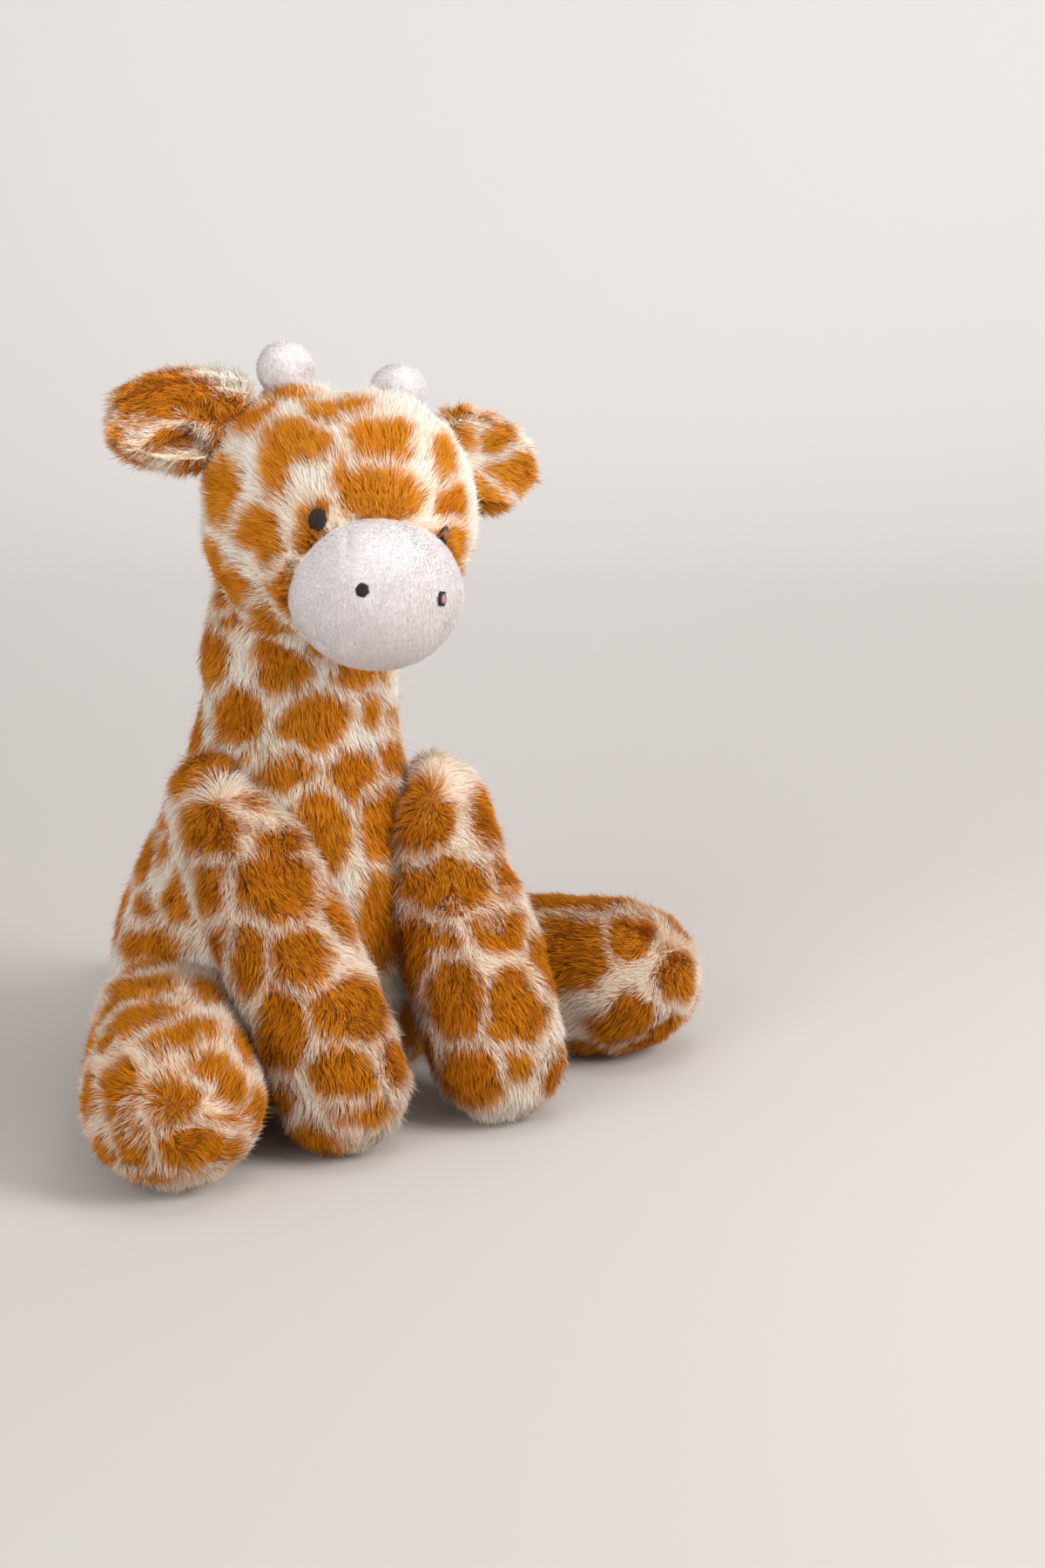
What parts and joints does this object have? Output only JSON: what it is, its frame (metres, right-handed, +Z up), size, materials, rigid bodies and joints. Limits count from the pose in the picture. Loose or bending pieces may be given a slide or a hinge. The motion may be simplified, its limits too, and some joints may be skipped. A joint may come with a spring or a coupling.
{
  "type": "plush giraffe",
  "caption": "Seated plush giraffe with stubby horns, folded ears, a short-pile muzzle and stuffed limbs, its head, ears, arms, legs and tail each hinged at a sewn seam.",
  "frame": {"origin": "middle of the flat seat on the floor", "axes": "+Z up, the toy faces -Y, its left is +X"},
  "size_m": [0.3041, 0.2783, 0.3193],
  "materials": {
    "plush": "long pile with a caramel patch pattern on cream",
    "short_pile": "short brushed pile, off-white",
    "thread": "dark brown satin-stitched thread",
    "fibre": "loose white polyester fibre",
    "beans": "bag of small plastic beads"
  },
  "bodies": {
    "torso": {"torso_skin": "plush", "torso_filling": "fibre", "seat_bean_bag": "beans"},
    "neck": {"neck_stuffing": "fibre"},
    "head": {"head_skin": "plush", "head_filling": "fibre", "muzzle_skin": "short_pile", "ossicone_left_skin": "short_pile", "ossicone_left_filling": "fibre", "ossicone_right_skin": "short_pile", "ossicone_right_filling": "fibre", "eye_left": "thread", "eye_right": "thread", "nostril_left": "thread", "nostril_right": "thread"},
    "ear_left": {"ear_left_front": "plush", "ear_left_back": "plush"},
    "ear_right": {"ear_right_front": "plush", "ear_right_back": "plush"},
    "tail": {"tail": "plush", "tail_tuft": "plush"},
    "arm_right": {"arm_right_skin": "plush", "arm_right_filling": "fibre", "arm_right_bean_bag": "beans"},
    "arm_left": {"arm_left_skin": "plush", "arm_left_filling": "fibre", "arm_left_bean_bag": "beans"},
    "leg_right": {"leg_right_skin": "plush", "leg_right_filling": "fibre", "leg_right_bean_bag": "beans"},
    "leg_left": {"leg_left_skin": "plush", "leg_left_filling": "fibre", "leg_left_bean_bag": "beans"}
  },
  "joints": [
    {"name": "head_nod", "type": "hinge", "parent": "torso", "child": "neck", "pos_m": [0.016, -0.046, 0.249], "axis": [1, 0, 0], "range_deg": [-12, 8], "stiffness_Nm_per_rad": 2},
    {"name": "head_turn", "type": "hinge", "parent": "neck", "child": "head", "pos_m": [0.016, -0.046, 0.249], "axis": [0.0959, -0.4188, 0.903], "range_deg": [-30, 30], "stiffness_Nm_per_rad": 0.5},
    {"name": "ear_left_flap", "type": "hinge", "parent": "head", "child": "ear_left", "pos_m": [0.0674, -0.03668, 0.27012], "axis": [0.5046, 0.0794, 0.8597], "range_deg": [-20, 20], "stiffness_Nm_per_rad": 0.1},
    {"name": "ear_right_flap", "type": "hinge", "parent": "head", "child": "ear_right", "pos_m": [-0.02222, -0.0303, 0.28732], "axis": [0.0365, 0.0562, 0.9978], "range_deg": [-20, 20], "stiffness_Nm_per_rad": 0.1},
    {"name": "arm_right_lift", "type": "hinge", "parent": "torso", "child": "arm_right", "pos_m": [-0.03417, -0.0236, 0.131], "axis": [-1, 0, 0], "range_deg": [0, 50]},
    {"name": "arm_left_lift", "type": "hinge", "parent": "torso", "child": "arm_left", "pos_m": [0.05415, -0.03925, 0.118], "axis": [-1, 0, 0], "range_deg": [0, 50]},
    {"name": "leg_right_splay", "type": "hinge", "parent": "torso", "child": "leg_right", "pos_m": [-0.05531, -0.02799, 0.036], "axis": [0, 0, -1], "range_deg": [0, 35], "stiffness_Nm_per_rad": 0.1},
    {"name": "leg_left_splay", "type": "hinge", "parent": "torso", "child": "leg_left", "pos_m": [0.06424, 0.00146, 0.036], "axis": [0, 0, 1], "range_deg": [-12, 12], "stiffness_Nm_per_rad": 0.1},
    {"name": "tail_swing", "type": "hinge", "parent": "torso", "child": "tail", "pos_m": [0.00261, 0.05696, 0.05], "axis": [0, 0, 1], "range_deg": [-25, 25], "stiffness_Nm_per_rad": 0.1}
  ]
}
